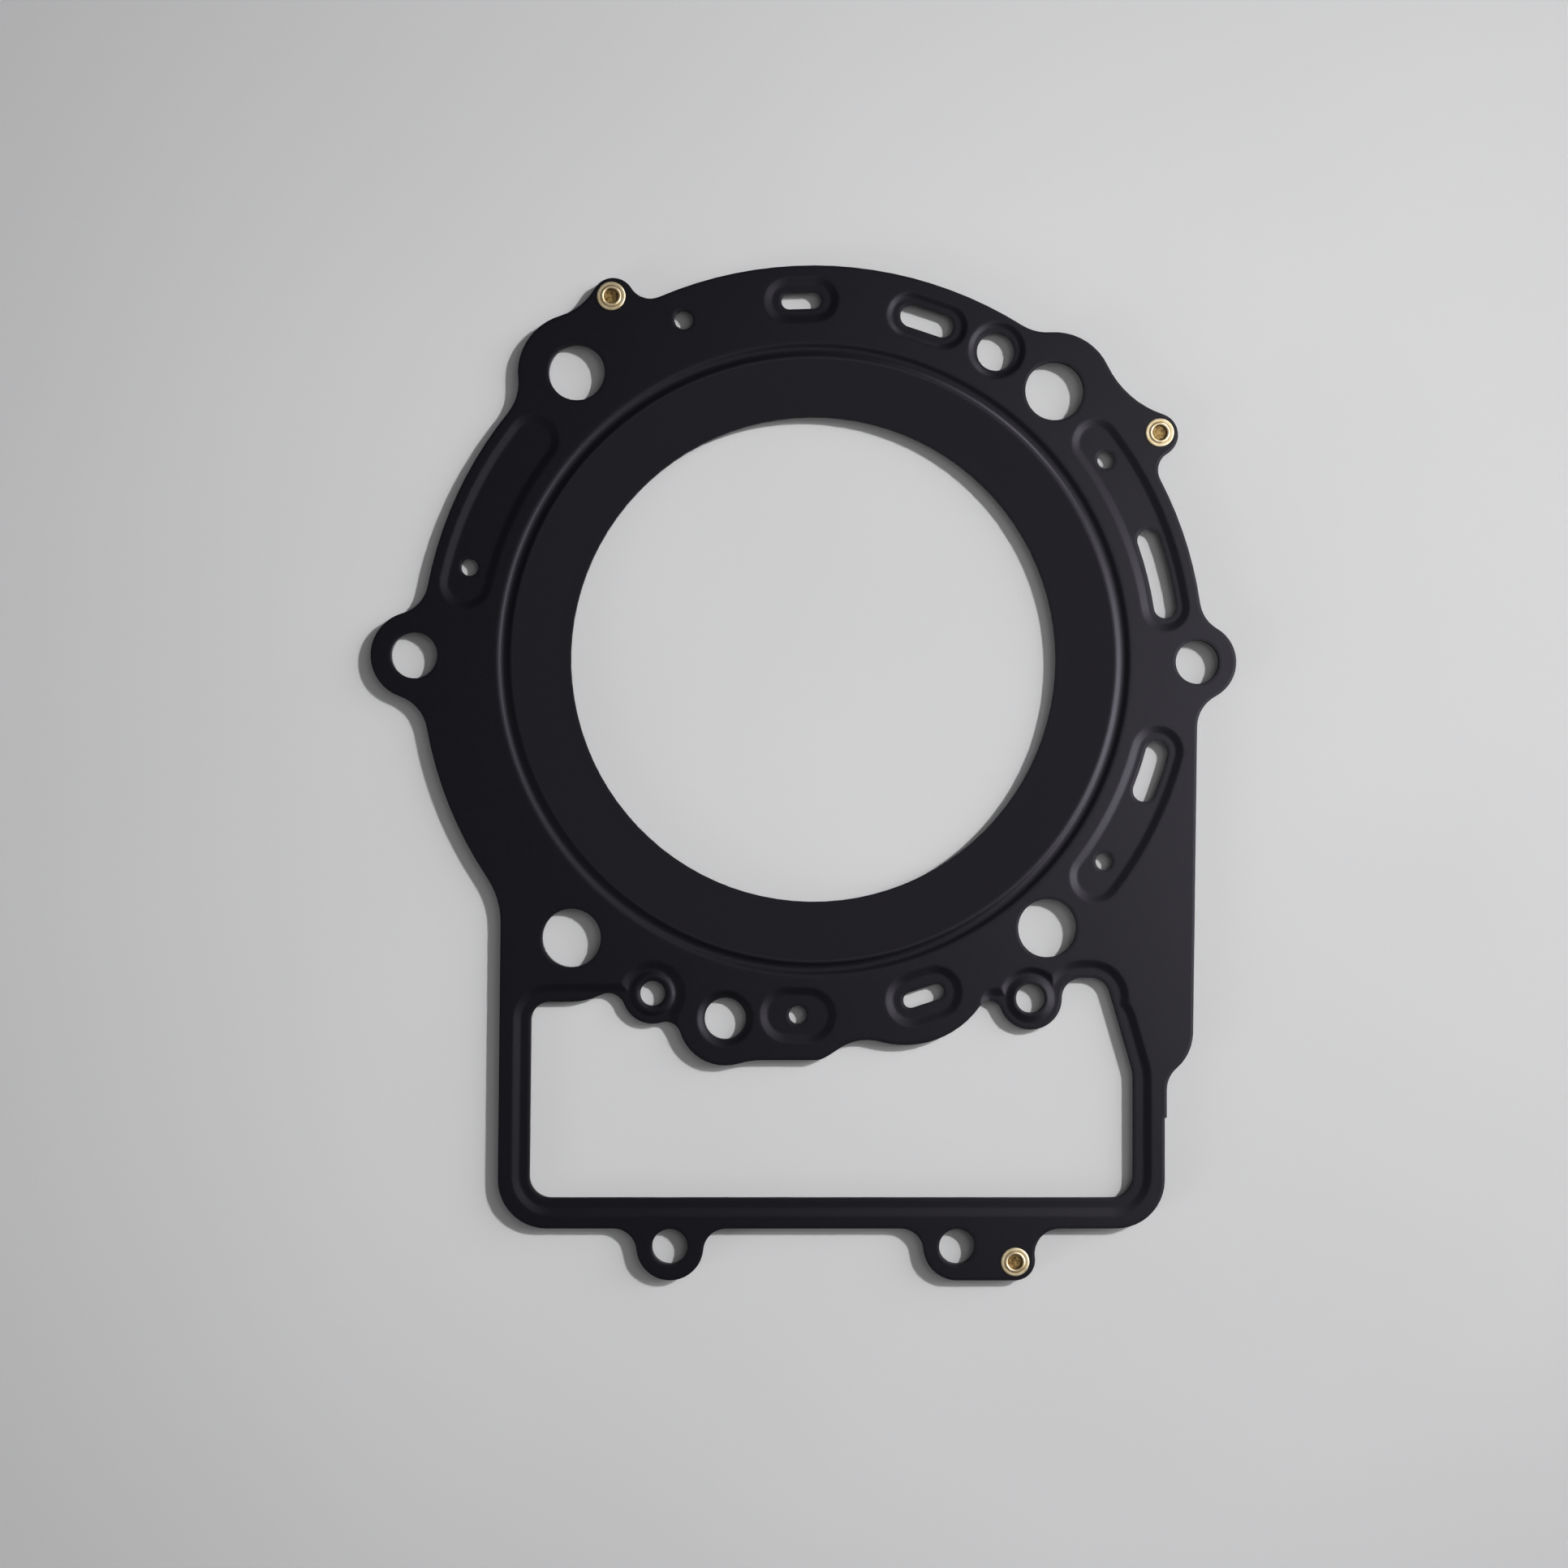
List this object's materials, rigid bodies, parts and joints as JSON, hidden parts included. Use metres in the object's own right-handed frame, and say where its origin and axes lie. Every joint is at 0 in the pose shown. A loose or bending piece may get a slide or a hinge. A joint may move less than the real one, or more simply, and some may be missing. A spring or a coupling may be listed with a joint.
{
  "type": "cylinder head gasket",
  "caption": "Multi-layer steel cylinder head gasket: a bead ring round one large bore, recessed coolant and oil ports, stud holes and a timing-chain frame, held by brass rivets.",
  "frame": {"origin": "on the axis of the cylinder bore, in the middle plane of the spacer layer", "axes": "+Z along the bore axis towards the cylinder head, -Y towards the timing-chain opening and the two lugs below it, +X towards the ear beside the straight edge"},
  "size_m": [0.1945, 0.228, 0.0025],
  "materials": {
    "black_coating": "satin black rubber-based coating on spring steel",
    "bare_steel": "plain rolled stainless steel, seen only at the punched edges",
    "brass": "dull yellow metal, slightly tarnished"
  },
  "bodies": {
    "root": {"upper_bead_layer": "black_coating", "lower_bead_layer": "black_coating", "spacer_layer": "bare_steel", "stopper_ring": "bare_steel", "rivet_upper_left": "brass", "rivet_upper_right": "brass", "rivet_lower": "brass"}
  },
  "joints": []
}
